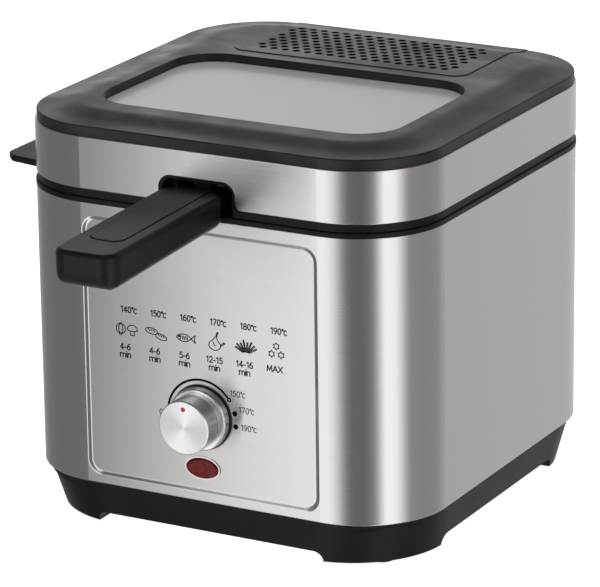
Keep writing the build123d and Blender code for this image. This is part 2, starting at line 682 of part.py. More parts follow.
def lid_liner():
    inset = 7.0
    plate = prism(inset, LINER_Z, LINER_Z + LINER_THICK, 38.0)
    wall = ring(inset, inset + 1.0, 186.0, LINER_Z)
    pan = plate + wall - window_slab(WINDOW_LEDGE, 200, 210) - tray_slab(6.0, 200, 210)
    pan = pierced(pan, corners(BOSS_X, BOSS_Y), 1.6, 200, 210)
    return pan - block((-NOTCH_HALF, NOTCH_HALF), (-130, -95), (170, NOTCH_TOP))


def lid_seal():
    outer, lip_inner, wall_inner, lip_top = 12.0, 15.5, 13.2, 183.0
    seal = ring(outer, lip_inner, POT_TOP + LID_GAP, lip_top)
    seal += ring(outer, wall_inner, lip_top, LINER_Z)
    return seal - block((-18, 18), (-130, -90), (170, NOTCH_TOP + 2))


# ---- basket and handle
def basket_form(extra, low, high):
    top = Pos(0, 0, high) * RectangleRounded(
        BASKET_TOP_X - 2 * extra, BASKET_TOP_Y - 2 * extra, BASKET_CORNER - extra
    )
    shrink = 2 * (extra + BASKET_TAPER)
    bottom = Pos(0, 0, low) * RectangleRounded(
        BASKET_TOP_X - shrink, BASKET_TOP_Y - shrink, BASKET_CORNER - 3 - extra
    )
    return fillet(loft([bottom, top]).edges().group_by(Axis.Z)[0], 8.0 - extra)


def basket_rim():
    clear = 2 * RIM_WIRE + 0.2
    path = RectangleRounded(BASKET_TOP_X + clear, BASKET_TOP_Y + clear, BASKET_CORNER + 2).wire()
    path = Pos(0, 0, BASKET_HIGH - 1.0) * path
    return sweep(Plane(origin=path @ 0, z_dir=path % 0) * Circle(RIM_WIRE), path=path)


def basket_shell():
    inside = basket_form(BASKET_WALL, BASKET_LOW + BASKET_WALL, BASKET_HIGH + 0.01)
    return basket_form(0, BASKET_LOW, BASKET_HIGH) - inside


def basket_feet():
    low = POT_LOW + POT_WALL + 2.0
    feet = []
    for y in (-48, 48):
        points = [(-50, y, BASKET_LOW), (-50, y, low), (50, y, low), (50, y, BASKET_LOW)]
        feet.append(wire_sweep(points, FOOT_WIRE, 4.0))
    return feet


def basket_bracket():
    """A pressed plate behind the rim wire that carries the handle's two arms."""
    back = BRACKET_FRONT
    plate = block((-17, 17), (back - BRACKET_THICK, back), (158, 189))
    plate = fillet(plate.edges().filter_by(Axis.Y), 4.0)
    for x in (-ARM_X, ARM_X):
        plate -= rod_y(ARM_RADIUS, x, ARM_Z, back - 5, back + 2)
    for x in (-RIVET_X, RIVET_X):
        plate -= rod_y(RIVET_RADIUS, x, RIVET_Z, back - 5, back + 2)
    return plate


def basket_rivets():
    front = BRACKET_FRONT - BRACKET_THICK
    rivets = []
    for x in (-RIVET_X, RIVET_X):
        shank = rod_y(RIVET_RADIUS, x, RIVET_Z, front, front + 4.9)
        head = rod_y(2.8, x, RIVET_Z, front - 1.2, front)
        head = fillet(head.edges().group_by(Axis.Y)[0], 0.9)
        rivets.append(shank + head)
    return rivets


def handle_arms():
    """Two steel rods from inside the grip through the notch to the basket's bracket."""
    return [rod_y(ARM_RADIUS, x, ARM_Z, ARM_END, BRACKET_FRONT) for x in (-ARM_X, ARM_X)]


def grip_place():
    return Pos(0, GRIP_ROOT, GRIP_TOP) * Rot(GRIP_DROOP, 0, 0)


def inlay_slab(grow, low, high):
    """The long inlay in the grip's top, in the grip's own frame with its root at y = 0."""
    half, length = INLAY_HALF + grow, INLAY_LENGTH + grow
    rounded = slab(2 * half, length, 6.0, low, high, 0, -length / 2)
    return rounded + block((-half, half), (-20, 0), (low, high))


def handle_grip():
    half, length = GRIP_WIDTH / 2, GRIP_LENGTH
    end_corner, root_corner, top_round, low_round, end_round = 9.0, 7.0, 2.9, 6.5, 9.0
    profile = [(0, 0), (0, -GRIP_HEIGHT_ROOT), (-length, -GRIP_HEIGHT_END), (-length, 0)]
    side = Plane.YZ.offset(-half) * make_face(Polyline(*profile, close=True))
    grip = extrude(side, GRIP_WIDTH, dir=(1, 0, 0))
    grip = fillet(grip.edges().filter_by(Axis.Z).group_by(Axis.Y)[0], end_corner)
    grip = fillet(grip.edges().filter_by(Axis.Z).group_by(Axis.Y)[-1], root_corner)
    grip = fillet(grip.faces().sort_by(Axis.Z)[-1].edges(), top_round)
    grip = fillet(grip.faces().sort_by(Axis.Z)[0].edges(), low_round)
    rounded = block((-half, half), (-length, 10), (-GRIP_HEIGHT_END, 10))
    rounded = fillet(rounded.edges().filter_by(Axis.X).group_by(Axis.Y)[0].sort_by(Axis.Z)[0], end_round)
    grip = (grip & rounded) - inlay_slab(INLAY_GAP, -INLAY_DEEP, 1.0)
    grip = grip_place() * grip
    neck = block((-13, 13), (GRIP_ROOT - 3, -104.0), (180.5, 189.0))
    catch = block((-CATCH_HALF, CATCH_HALF), (-113.5, -107.0), (188.0, 193.6))
    grip = grip + fillet(neck.edges().filter_by(Axis.Y), 2.0)
    grip = grip + fillet(catch.edges().group_by(Axis.Z)[-1], 0.6)
    for x in (-ARM_X, ARM_X):
        grip -= rod_y(ARM_RADIUS, x, ARM_Z, ARM_END, -90)
    for y in SCREW_PLACES:
        grip -= rod_z(2.9, 0, GRIP_ROOT + y, 160, SCREW_SEAT)
        grip -= rod_z(1.6, 0, GRIP_ROOT + y, 170, 184)
    return grip


def handle_inlay():
    inlay = inlay_slab(0, -INLAY_DEEP, INLAY_PROUD)
    return grip_place() * fillet(inlay.edges().group_by(Axis.Z)[-1], 0.3)


def handle_screws():
    return [screw(0, GRIP_ROOT + y, SCREW_SEAT - 1.7, 184.0, 2.7, 1.6) for y in SCREW_PLACES]


def base_screws():
    return [screw(x, y, COVER_LOW - 1.7, 24.0) for x, y in corners(POST_X, POST_Y)]


def lid_screws():
    return [screw(x, y, LINER_Z - 1.7, 212.0, 3.0, 1.5) for x, y in corners(BOSS_X, BOSS_Y)]


# ---- write every node
SINGLE_PIECES = [
    outer_housing, rear_housing, base_tub, base_cover, body_rim, inner_pot, heating_element, element_clamp,
    heat_shield, sensor_bulb, capillary_tube, thermal_fuse, thermostat_body, thermostat_bracket,
    thermostat_shaft, shaft_nut, dial_ring, indicator_lens, lamp_bezel, lamp_holder, neon_lamp,
    cord_gland, terminal_block, knob_cap, knob_core, knob_pointer, lid_top_plate, lid_skirt,
    lid_trim, lid_liner, lid_seal, window_gasket, filter_tray, filter_cover, basket_shell,
    basket_rim, basket_bracket, handle_grip, handle_inlay,
]
GROUPS = [
    side_housing, base_screws, rubber_feet, support_posts, pot_studs, internal_wiring, lid_screws, basket_feet,
    basket_rivets, handle_arms, handle_screws,
]
for make in SINGLE_PIECES:
    save(make.__name__, make())
for make in GROUPS:
    save(make.__name__, *make())
save("window_glass", window_slab(0.2, GLASS_TOP - GLASS_THICK, GLASS_TOP))
save("grease_filter", filter_pad(LINER_Z + 2.8))
save("charcoal_filter", filter_pad(LINER_Z + 6.9))
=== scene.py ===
"""Looks for the deep fryer: materials, printed chart and scale, woven basket, studio and camera.

Metres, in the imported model's frame: +X right, -Y front, +Z up, origin on the plane of the feet.
"""

import json
from math import cos, hypot, pi, radians, sin, sqrt

import bmesh
import bpy
from mathutils import Matrix, Vector


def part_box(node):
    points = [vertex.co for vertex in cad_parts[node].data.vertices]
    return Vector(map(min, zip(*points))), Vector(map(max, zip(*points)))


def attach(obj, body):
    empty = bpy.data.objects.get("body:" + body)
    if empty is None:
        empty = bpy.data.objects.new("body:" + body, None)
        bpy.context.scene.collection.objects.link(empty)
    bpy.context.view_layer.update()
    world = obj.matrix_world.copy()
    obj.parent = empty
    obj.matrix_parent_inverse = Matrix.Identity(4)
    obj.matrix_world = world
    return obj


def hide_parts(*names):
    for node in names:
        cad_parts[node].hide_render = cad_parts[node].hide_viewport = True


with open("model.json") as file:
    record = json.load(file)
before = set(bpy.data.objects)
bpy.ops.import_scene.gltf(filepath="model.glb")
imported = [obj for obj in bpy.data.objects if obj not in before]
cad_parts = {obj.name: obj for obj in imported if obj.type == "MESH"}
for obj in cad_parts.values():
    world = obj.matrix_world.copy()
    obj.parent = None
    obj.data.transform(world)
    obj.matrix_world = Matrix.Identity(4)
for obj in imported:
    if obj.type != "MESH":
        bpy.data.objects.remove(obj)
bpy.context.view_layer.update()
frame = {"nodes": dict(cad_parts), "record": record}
NODES = frame["nodes"]
MM = 0.001

# ---- places read from the frame
KNOB_LOW, KNOB_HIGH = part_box("knob_cap")
SHELL_LOW, SHELL_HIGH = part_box("basket_shell")
KNOB_Z = (KNOB_LOW.z + KNOB_HIGH.z) / 2
PANEL_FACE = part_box("dial_ring")[1].y  # the back of the dial ring lies on the panel

# ---- camera
CAMERA_PLACE = Vector((0.9848, -1.8120, 0.7624))
CAMERA_AZIMUTH, CAMERA_ELEVATION, CAMERA_ROLL = 28.693, 17.755, -0.738
CAMERA_LENS, CAMERA_SENSOR = 245.6, 36.0
CAMERA_REACH = 20

# ---- print on the panel, in millimetres, x from the middle and z from the plane of the feet
PRINT_THICK = 0.06
STROKE_SIDES, SHORTEST_STROKE = 12, 0.001
FIGURE_LINE, DRAWING_LINE, LABEL_LINE = 0.58, 0.50, 0.40
FIGURE_HIGH, LABEL_HIGH = 3.1, 3.0
COLUMN_FIRST, COLUMN_PITCH, COLUMN_RISE = -41.9, 17.4, 0.21
TIME_SHIFT, ICON_SHIFT = -2.4, -1.4
TEMPERATURE_Z, ICON_Z, TIME_Z, MIN_Z = 121.3, 110.6, 101.2, 97.0
TEMPERATURES = ("140", "150", "160", "170", "180", "190")
TIMES = ("4-6", "4-6", "5-6", "12-15", "14-16", "MAX")

# ---- scale round the knob, in millimetres, and in degrees clockwise from straight up
ARC_RADIUS, ARC_WIDE, ARC_STEPS = 19.8, 1.2, 40
ARC_START, ARC_END = -80.0, 49.0
OPEN_DOT_ANGLE, OPEN_DOT_RADIUS, OPEN_DOT_LINE = 54.0, 0.85, 0.75
DOT_ANGLES = (76.0, 96.5)
DOT_RADIUS = 1.35
DOT_LINE = 1.02 * DOT_RADIUS  # over the radius, so that the stroke fills the dot
DIAL_LABELS = (
    ("0", -23.9, 69.2),
    ("150*C", 20.9, 85.5),
    ("170*C", 25.9, 77.3),
    ("190*C", 27.0, 68.0),
)

# ---- woven basket
WIRE_RADIUS = 0.55 * MM
WIRE_SIDES = 6
WIRE_PITCH = 6.6 * MM
WEAVE = 0.5 * MM
BASKET_TAPER = 6.0 * MM
BASKET_CORNER = 28.0 * MM
BASKET_TOP_GAP = 1.0 * MM
BOTTOM_ROUND = 8.0 * MM
CROSSING_STEPS = 4  # points of a wire from one crossing to the next
TURN_STEPS = 6
EDGE_STEPS = 120

# ---- finishes
SHEET_BOW = 0.19  # the steel falls back by this times the square of its distance from the Z axis
KNOB_PAINTED_SHEEN = radians(12)  # clockwise turn of the painted highlight's bright wedges on the knob's face
BLACK = ((0.0040, 0.0041, 0.0042), (0.0075, 0.0076, 0.0078))
# Black for the top plastic: its lighter tones are a painted highlight that greys it all over, with slow
# patches of wear and dust.
BLACK_WEAR_AND_PAINTED_SHEEN = ((0.005, 0.0055, 0.0055), (0.020, 0.021, 0.021))

# ---- studio, in metres and watts
FLOOR_HALF, FLOOR_DROP, FLOOR_GLOW = 6.0, 0.0002, 0.9
SOFTBOX_PLACE, SOFTBOX_AIM = Vector((-0.2, 0.1, 1.7)), Vector((0, 0, 0.1))
SOFTBOX_SIDE, SOFTBOX_WATTS = 1.6, 14
# Brightness of the walls by compass direction: degrees from the front, + to the right.
STUDIO_WALLS = (
    (-180, 0.82), (-156, 1.00), (-146, 1.50), (-138, 0.60), (-112, 0.30), (-80, 0.26), (-37, 0.28),
    (-34, 0.50), (-32, 1.00), (-30, 1.50), (-27, 1.80), (-18, 1.85), (-9, 1.55), (-2, 1.10), (6, 0.45),
    (14, 0.25), (30, 0.24), (42, 0.36), (49, 0.90), (56, 1.90), (70, 1.85), (78, 1.2), (87, 0.48),
    (110, 0.42), (134, 0.45), (150, 0.74), (180, 0.82),
)
WALL_PEAK = 2.0
CEILING = 0.15
CEILING_START, CEILING_END = 0.25, 0.75  # sines of the heights between which it takes over


# ---- materials
def add_node(tree, kind, inputs=None, **settings):
    """A shader node, with each input linked to a socket or set to a value."""
    made = tree.nodes.new("ShaderNode" + kind)
    for key, value in settings.items():
        setattr(made, key, value)
    for socket, value in (inputs or {}).items():
        if isinstance(value, bpy.types.NodeSocket):
            tree.links.new(value, made.inputs[socket])
        else:
            made.inputs[socket].default_value = value
    return made


class Finish:
    """A procedural material: a Principled shader and the nodes that vary it."""

    def __init__(self, name, color=(0.5, 0.5, 0.5), roughness=0.5, metallic=0.0, **sockets):
        self.material = bpy.data.materials.new(name)
        self.material.use_nodes = True
        self.tree = self.material.node_tree
        self.shader = self.tree.nodes["Principled BSDF"]
        self.shader.inputs["Base Color"].default_value = (*color, 1)
        self.shader.inputs["Roughness"].default_value = roughness
        self.shader.inputs["Metallic"].default_value = metallic
        for key, value in sockets.items():
            self.shader.inputs[key.replace("_", " ")].default_value = value

    def node(self, kind, inputs=None, **settings):
        return add_node(self.tree, kind, inputs, **settings)

    def place(self, scale=(1, 1, 1)):
        """The piece's own coordinates, stretched."""
        source = self.node("TexCoord").outputs["Object"]
        return self.node("Mapping", {"Vector": source, "Scale": scale}).outputs[0]

    def noise(self, scale, detail=2.0, rough=0.5, stretch=(1, 1, 1)):
        inputs = {"Vector": self.place(stretch), "Scale": scale, "Detail": detail, "Roughness": rough}
        return self.node("TexNoise", inputs).outputs[0]

    def cells(self, scale):
        return self.node("TexVoronoi", {"Vector": self.place(), "Scale": scale}).outputs[0]

    def remap(self, value, low, high, start=0.3, end=0.7):
        """Low to high as the value goes from start to end."""
        inputs = {0: value, 1: start, 2: end, 3: low, 4: high}
        return self.node("MapRange", inputs).outputs[0]

    def math(self, operation, first, second=0.0):
        return self.node("Math", {0: first, 1: second}, operation=operation).outputs[0]

    def blend(self, first, second, share):
        """Two values mixed, with this share of the second."""
        kept = self.math("MULTIPLY", first, 1 - share)
        return self.math("ADD", kept, self.math("MULTIPLY", second, share))

    def square_sum(self, first, second):
        squares = [self.math("MULTIPLY", value, value) for value in (first, second)]
        return self.math("ADD", *squares)

    def color(self, factor, dark, light):
        """Colour from dark to light as the factor goes from 0 to 1."""
        ramp = self.node("Mix", {"Factor": factor}, data_type="RGBA")
        ramp.inputs[6].default_value = (*dark, 1)
        ramp.inputs[7].default_value = (*light, 1)
        self.tree.links.new(ramp.outputs[2], self.shader.inputs["Base Color"])
        return self

    def rough(self, value):
        self.tree.links.new(value, self.shader.inputs["Roughness"])
        return self

    def bump(self, height, strength, distance):
        """Adds a layer of bump on top of those already there."""
        socket = self.shader.inputs["Normal"]
        inputs = {"Strength": strength, "Distance": distance, "Height": height}
        if socket.is_linked:
            inputs["Normal"] = socket.links[0].from_socket
        self.tree.links.new(self.node("Bump", inputs).outputs[0], socket)
        return self

    def tangent(self, axis):
        out = self.node("Tangent", direction_type="RADIAL", axis=axis).outputs[0]
        self.tree.links.new(out, self.shader.inputs["Tangent"])
        return self


def brushed_stainless(name):
    """Horizontal brushing on slightly bowed sheet: hairlines along X and Y, close in Z."""
    steel = Finish(name, metallic=1.0, Anisotropic=1.0, Anisotropic_Rotation=0.25)
    lines = steel.noise(1.0, 3.0, 0.65, stretch=(55, 55, 2300))
    bands = steel.noise(1.0, 2.0, 0.5, stretch=(9, 9, 260))
    mixed = steel.blend(lines, bands, 0.3)
    steel.color(steel.remap(mixed, 0, 1), (0.635, 0.622, 0.615), (0.675, 0.662, 0.655))
    steel.rough(steel.remap(mixed, 0.23, 0.28))
    split = steel.node("SeparateXYZ", {0: steel.place()}).outputs
    bow = steel.math("MULTIPLY", steel.square_sum(split[0], split[1]), -SHEET_BOW)
    steel.bump(bow, 1.0, 1.0)
    steel.bump(lines, 0.035, 0.05 * MM)
    return steel.tangent("Z").material


def moulded(name, tones, rough, grain=2600, depth=0.10, cloud=22, shine=0.5):
    """Plastic, rubber, ceramic or paint: a fine eroded texture and slow variation in gloss."""
    plastic = Finish(name, Specular_IOR_Level=shine)
    texture = plastic.noise(grain, 3.0, 0.6)
    slow = plastic.noise(cloud, 3.0, 0.55)
    plastic.color(plastic.remap(slow, 0, 1), *tones)
    plastic.rough(plastic.remap(plastic.blend(slow, texture, 0.3), *rough))
    return plastic.bump(texture, depth, 0.08 * MM).material


def plated(name, tones, rough, scale=180):
    """Bright or satin metal with faint stains and scratches."""
    metal = Finish(name, metallic=1.0)
    stain = metal.noise(scale, 4.0, 0.6)
    metal.color(metal.remap(stain, 0, 1), *tones)
    metal.rough(metal.remap(stain, *rough))
    return metal.bump(metal.noise(scale * 8, 2.0), 0.06, 0.05 * MM).material


def turned_aluminium(name):
    """A lathe-turned knob: fine rings round Y, and a painted highlight in the base colour that spreads
    in wedges.
    """
    metal = Finish(name, metallic=1.0, Anisotropic=0.8, Anisotropic_Rotation=0.25)
    split = metal.node("SeparateXYZ", {0: metal.place()}).outputs
    up = metal.math("SUBTRACT", split[2], KNOB_Z)
    radius = metal.math("SQRT", metal.square_sum(split[0], up))
    turning = {"W": radius, "Scale": 5200, "Detail": 2.0}
    rings = metal.node("TexNoise", turning, noise_dimensions="1D").outputs[0]
    # Painted highlight: the base colour is brightest in two wedges about this turn, mixed with the real
    # grain of the rings.
    angle = metal.math("SUBTRACT", metal.math("ARCTAN2", split[0], up), KNOB_PAINTED_SHEEN)
    spread = metal.math("ABSOLUTE", metal.math("COSINE", angle))
    painted_sheen = metal.math("POWER", spread, 2.5)
    metal.color(metal.blend(painted_sheen, rings, 0.2), (0.70, 0.70, 0.70), (1.0, 1.0, 1.0))
    metal.rough(metal.remap(rings, 0.20, 0.32))
    metal.bump(rings, 0.12, 0.03 * MM)
    return metal.tangent("Y").material


def red_lens(name):
    lens = Finish(name, roughness=0.10, IOR=1.5, Specular_IOR_Level=0.25)
    facets = lens.cells(700)
    lens.color(lens.remap(facets, 0, 1, 0.1, 0.8), (0.20, 0.002, 0.003), (0.08, 0.001, 0.001))
    return lens.bump(facets, 0.12, 0.25 * MM).material


def hazed_glass(name):
    """The window from above: glass over a dim pot, its pale grey partly a greasy film and partly a
    painted reflection of the bright ceiling.
    """
    glass = Finish(name, IOR=1.5, Transmission_Weight=0.12, Coat_Weight=0.2, Coat_Roughness=0.1)
    haze_and_painted_glare = glass.noise(9, 3.0, 0.5)
    # Painted reflection: the pale grey base colour stands for the bright ceiling seen in the glass, as
    # well as a greasy film; the noise varies it at random.
    glass.color(glass.remap(haze_and_painted_glare, 0, 1), (0.49, 0.492, 0.500), (0.515, 0.517, 0.525))
    glass.rough(glass.remap(haze_and_painted_glare, 0.26, 0.32))
    return glass.bump(glass.noise(30, 2.0), 0.01, 0.1 * MM).material


def clear_glass(name):
    glass = Finish(name, (0.95, 0.96, 0.96), 0.04, IOR=1.5, Transmission_Weight=0.95)
    return glass.bump(glass.noise(120, 2.0), 0.04, 0.05 * MM).material


def non_stick(name):
    """Dark pot coating with pale flecks."""
    coat = Finish(name, IOR=1.45, Coat_Weight=0.15, Coat_Roughness=0.3)
    flecks = coat.cells(420)
    coat.color(coat.remap(flecks, 1, 0, 0.05, 0.16), (0.028, 0.028, 0.030), (0.10, 0.10, 0.105))
    coat.rough(coat.remap(coat.noise(90, 3.0), 0.32, 0.48))
    return coat.bump(coat.noise(700, 2.0), 0.15, 0.05 * MM).material


def fleece(name):
    """Needled filter fleece."""
    pad = Finish(name, roughness=0.95, Sheen_Weight=0.35, Sheen_Roughness=0.5)
    fibres = pad.noise(900, 5.0, 0.75, stretch=(1, 0.35, 1))
    pad.color(pad.remap(fibres, 0, 1), (0.58, 0.57, 0.52), (0.80, 0.79, 0.75))
    return pad.bump(fibres, 0.8, 0.4 * MM).material


def open_foam(name):
    """Reticulated charcoal foam."""
    foam = Finish(name, roughness=0.9)
    pores = foam.cells(650)
    foam.color(foam.remap(pores, 0, 1, 0.1, 0.6), (0.008, 0.008, 0.009), (0.05, 0.05, 0.052))
    return foam.bump(pores, 1.0, 0.5 * MM).material


def printed_ink(name):
    ink = Finish(name, IOR=1.45, Specular_IOR_Level=0.2)
    grain = ink.noise(1500, 3.0)
    ink.color(ink.remap(grain, 0, 1), (0.006, 0.006, 0.006), (0.014, 0.014, 0.014))
    ink.rough(ink.remap(grain, 0.45, 0.6))
    return ink.bump(grain, 0.1, 0.02 * MM).material


# Tones from dark to light, and roughness from low to high, of each plain finish.
MOULDED = {
    "black_plastic": dict(tones=BLACK, rough=(0.32, 0.46), shine=0.18),
    # The top plastic's lighter tones are a painted highlight as well as wear.
    "black_top_plastic": dict(tones=BLACK_WEAR_AND_PAINTED_SHEEN, rough=(0.22, 0.50), depth=0.12, cloud=34, shine=0.34),
    "handle_plastic": dict(tones=BLACK, rough=(0.30, 0.44), grain=1900, shine=0.27),
    "knob_plastic": dict(tones=BLACK, rough=(0.40, 0.55)),
    "dial_black": dict(tones=((0.006,) * 3, (0.010,) * 3), rough=(0.16, 0.26), depth=0.04),
    "black_rubber": dict(tones=((0.010,) * 3, (0.018,) * 3), rough=(0.62, 0.78), grain=1400, depth=0.25),
    "seal_rubber": dict(tones=((0.022,) * 3, (0.032,) * 3), rough=(0.55, 0.70), grain=1600),
    "thermostat_case": dict(tones=((0.10, 0.055, 0.03), (0.16, 0.09, 0.05)), rough=(0.35, 0.5)),
    "white_ceramic": dict(tones=((0.72, 0.70, 0.65), (0.82, 0.80, 0.76)), rough=(0.18, 0.3), depth=0.05),
    "wire_insulation": dict(tones=((0.36, 0.05, 0.03), (0.50, 0.08, 0.05)), rough=(0.4, 0.55)),
    "red_paint": dict(tones=((0.50, 0.006, 0.012), (0.66, 0.012, 0.02)), rough=(0.25, 0.35), depth=0.04),
}
PLATED = {
    "zinc_steel": dict(tones=((0.42, 0.43, 0.44), (0.56, 0.57, 0.57)), rough=(0.34, 0.5)),
    "screw_steel": dict(tones=((0.48, 0.48, 0.48), (0.62, 0.62, 0.62)), rough=(0.22, 0.36), scale=500),
    "pressed_aluminium": dict(tones=((0.66, 0.66, 0.67), (0.78, 0.78, 0.79)), rough=(0.3, 0.42)),
    "element_sheath": dict(tones=((0.12, 0.10, 0.085), (0.26, 0.21, 0.18)), rough=(0.4, 0.58)),
    "chrome_trim": dict(tones=((0.60, 0.60, 0.60), (0.72, 0.72, 0.72)), rough=(0.08, 0.16)),
    "basket_chrome": dict(tones=((0.62, 0.62, 0.62), (0.76, 0.76, 0.76)), rough=(0.14, 0.26)),
    "brass_fittings": dict(tones=((0.58, 0.40, 0.14), (0.72, 0.52, 0.22)), rough=(0.22, 0.36)),
    "copper": dict(tones=((0.62, 0.32, 0.20), (0.76, 0.45, 0.30)), rough=(0.26, 0.42)),
}
SPECIAL = {
    "brushed_stainless": brushed_stainless,
    "turned_aluminium": turned_aluminium,
    "red_lens": red_lens,
    "hazed_glass": hazed_glass,
    "clear_glass": clear_glass,
    "nonstick_coating": non_stick,
    "filter_fleece": fleece,
    "charcoal_foam": open_foam,
}


def make_finishes():
    """Every material slot of the record, by name."""
    made = {name: moulded(name, **look) for name, look in MOULDED.items()}
    made.update({name: plated(name, **look) for name, look in PLATED.items()})
    made.update({name: make(name) for name, make in SPECIAL.items()})
    return made


FINISHES = make_finishes()
INK = printed_ink("printed_ink")


def dress_nodes():
    """Gives every CAD node the finish of its slot."""
    for row in frame["record"]["subparts"]:
        node = NODES[row["node"]]
        finish = FINISHES[row["material_slot"]]
        if not node.material_slots:
            node.data.materials.append(finish)
        for place in node.material_slots:
            place.material = finish


# ---- mesh helpers
def piece(name, mesh, material, body):
    """Adds a mesh as one piece of the fryer that rides a body."""
    made = bpy.data.objects.new(name, mesh)
    bpy.context.scene.collection.objects.link(made)
    mesh.materials.clear()
    mesh.materials.append(material)
    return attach(made, body)


def mesh_from(bm, name, smooth=True):
    bmesh.ops.recalc_face_normals(bm, faces=bm.faces)
    mesh = bpy.data.meshes.new(name)
    bm.to_mesh(mesh)
    bm.free()
    for polygon in mesh.polygons:
        polygon.use_smooth = smooth
    return mesh


def tube(bm, points, radius, closed=False):
    """A round wire along points, with its ends capped unless it is closed."""
    count = len(points)
    rings = []
    side = None
    for i, point in enumerate(points):
        before = points[i - 1] if closed or i else points[0]
        after = points[(i + 1) % count] if closed or i < count - 1 else points[-1]
        along = (after - before).normalized()
        start = side or along.orthogonal()
        side = (start - along * start.dot(along)).normalized()
        other = along.cross(side)
        angles = [2 * pi * k / WIRE_SIDES for k in range(WIRE_SIDES)]
        rings.append([bm.verts.new(point + radius * (cos(a) * side + sin(a) * other)) for a in angles])
    for first, second in zip(rings, rings[1:]):
        for k in range(WIRE_SIDES):
            n = (k + 1) % WIRE_SIDES
            bm.faces.new((first[k], first[n], second[n], second[k]))
    if closed:
        join_rings(bm, rings[-1], rings[0])
    else:
        bm.faces.new(rings[0])
        bm.faces.new(reversed(rings[-1]))


def join_rings(bm, last, first):
    """Joins a closed tube's last ring to its first, starting from the nearest pair of points."""
    shift = min(range(WIRE_SIDES), key=lambda k: (first[k].co - last[0].co).length)
    for k in range(WIRE_SIDES):
        n = (k + 1) % WIRE_SIDES
        near, far = first[(k + shift) % WIRE_SIDES], first[(n + shift) % WIRE_SIDES]
        bm.faces.new((last[k], last[n], far, near))


# ---- woven basket
def rounded_loop(half_x, half_y, corner):
    """Total length of a rounded rectangle and a function from distance along it to point and normal."""
    flat_x, flat_y = 2 * (half_x - corner), 2 * (half_y - corner)
    bend = pi * corner / 2
    sides = [(flat_x, -90, (-1, -1)), (flat_y, 0, (1, -1)), (flat_x, 90, (1, 1)), (flat_y, 180, (-1, 1))]
    total = 2 * (flat_x + flat_y) + 4 * bend

    def at(distance):
        distance %= total
        for flat, facing, (sx, sy) in sides:
            out = Vector((cos(radians(facing)), sin(radians(facing)), 0))
            along = Vector((-out.y, out.x, 0))
            centre = Vector((sx * flat_x / 2, sy * flat_y / 2, 0))
            if distance <= flat:
                return centre + corner * out + along * distance, out
            distance -= flat
            if distance <= bend:
                angle = radians(facing) + distance / corner
                out = Vector((cos(angle), sin(angle), 0))
                return centre + along * flat + corner * out, out
            distance -= bend
        return at(0)

    return total, at


def basket_section(z):
    """Half width, half depth and corner radius of the basket's wall at height z."""
    share = (SHELL_HIGH.z - z) / (SHELL_HIGH.z - SHELL_LOW.z)
    inset = share * BASKET_TAPER + WIRE_RADIUS + WEAVE
    return SHELL_HIGH.x - inset, SHELL_HIGH.y - inset, BASKET_CORNER - inset / 2


def wall_point(share, z, out_by):
    """A point at height z, a share of the way round the wall and moved outwards."""
    total, at = rounded_loop(*basket_section(z))
    point, out = at(share * total)
    return point + out * out_by + Vector((0, 0, z))


def bottom_half(offset, half_x, half_y, corner):
    """Half length of a straight bottom wire at a distance from the middle."""
    past = abs(offset) - (half_y - corner)
    return half_x - corner + sqrt(max(corner ** 2 - max(past, 0) ** 2, 0))


def bottom_turn(share, low):
    """An upright wire's quarter turn from the edge of the bottom to the foot of the wall."""
    points = []
    for k in range(TURN_STEPS):
        angle = pi / 2 * k / TURN_STEPS
        inward = BOTTOM_ROUND * (1 - sin(angle))
        drop = BOTTOM_ROUND * cos(angle)
        points.append(wall_point(share, low, -inward) - Vector((0, 0, drop)))
    return points


def level_wire(bm, z, row, columns):
    """A closed wire round the wall that passes inside and outside the uprights in turn."""
    count = CROSSING_STEPS * columns
    points = []
    for k in range(count):
        share = k / count
        wave = WEAVE * cos(pi * columns * share + pi * row)
        points.append(wall_point(share, z, wave))
    tube(bm, points, WIRE_RADIUS, closed=True)


def upright_wire(bm, share, column, low, step, rows):
    """A wire from the edge of the bottom up to the basket's rim."""
    points = bottom_turn(share, low)
    for k in range(CROSSING_STEPS * rows + 1):
        wave = -WEAVE * cos(pi * (column + k / CROSSING_STEPS))
        points.append(wall_point(share, low + k * step / CROSSING_STEPS, wave))
    tube(bm, points, WIRE_RADIUS)


def wall_wires(bm):
    top = SHELL_HIGH.z - BASKET_TOP_GAP
    low = SHELL_LOW.z + BOTTOM_ROUND + WIRE_RADIUS
    rows = round((top - low) / WIRE_PITCH)
    columns = 2 * round(rounded_loop(*basket_section(top))[0] / WIRE_PITCH / 2)
    step = (top - low) / rows
    for row in range(rows + 1):
        level_wire(bm, low + row * step, row, columns)
    for column in range(columns):
        upright_wire(bm, column / columns, column, low, step, rows)


def bottom_wire(bm, line, turned, long, wide, corner, z):
    """One woven wire of the bottom, along X or, when turned, along Y."""
    offset = line * WIRE_PITCH
    reach = bottom_half(offset, long, wide, corner)
    steps = max(int(2 * reach / (WIRE_PITCH / CROSSING_STEPS)), CROSSING_STEPS)
    points = []
    for k in range(steps + 1):
        along = -reach + 2 * reach * k / steps
        wave = WEAVE * cos(pi * along / WIRE_PITCH + pi * line + pi * turned)
        point = (offset, along) if turned else (along, offset)
        points.append(Vector((*point, z + wave)))
    tube(bm, points, WIRE_RADIUS)


